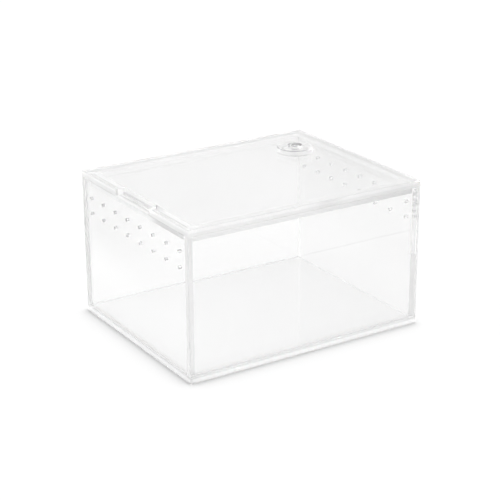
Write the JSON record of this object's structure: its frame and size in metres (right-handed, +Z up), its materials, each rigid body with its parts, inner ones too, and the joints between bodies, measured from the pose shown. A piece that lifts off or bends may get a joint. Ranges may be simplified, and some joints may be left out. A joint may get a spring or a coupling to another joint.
{
  "type": "acrylic terrarium",
  "caption": "Clear rectangular pet tank of bonded sheet with vent holes high in its end walls, a loose lid with a finger notch, and a round feeding-port cap.",
  "frame": {"origin": "centre of the underside of the floor panel", "axes": "+X along the long side, away from the finger notch; +Y towards the back; +Z up"},
  "size_m": [0.2, 0.16, 0.1205],
  "materials": {
    "clear_acrylic": "clear cast acrylic with polished edges",
    "post_metal": "bright plated steel"
  },
  "bodies": {
    "tank": {"base_panel": "clear_acrylic", "front_wall": "clear_acrylic", "back_wall": "clear_acrylic", "left_wall": "clear_acrylic", "right_wall": "clear_acrylic"},
    "lid": {"lid_panel": "clear_acrylic", "front_rim_strip": "clear_acrylic", "back_rim_strip": "clear_acrylic", "left_rim_strip": "clear_acrylic", "right_rim_strip": "clear_acrylic"},
    "port_cap": {"cap_disc": "clear_acrylic", "cap_plug": "clear_acrylic", "cap_post": "post_metal", "cap_screw": "post_metal"}
  },
  "joints": [
    {"name": "lid_lift", "type": "slide", "parent": "tank", "child": "lid", "axis": [0, 0, 1], "range_m": [0, 0.15]},
    {"name": "cap_lift", "type": "slide", "parent": "lid", "child": "port_cap", "axis": [0, 0, 1], "range_m": [0, 0.05]}
  ]
}
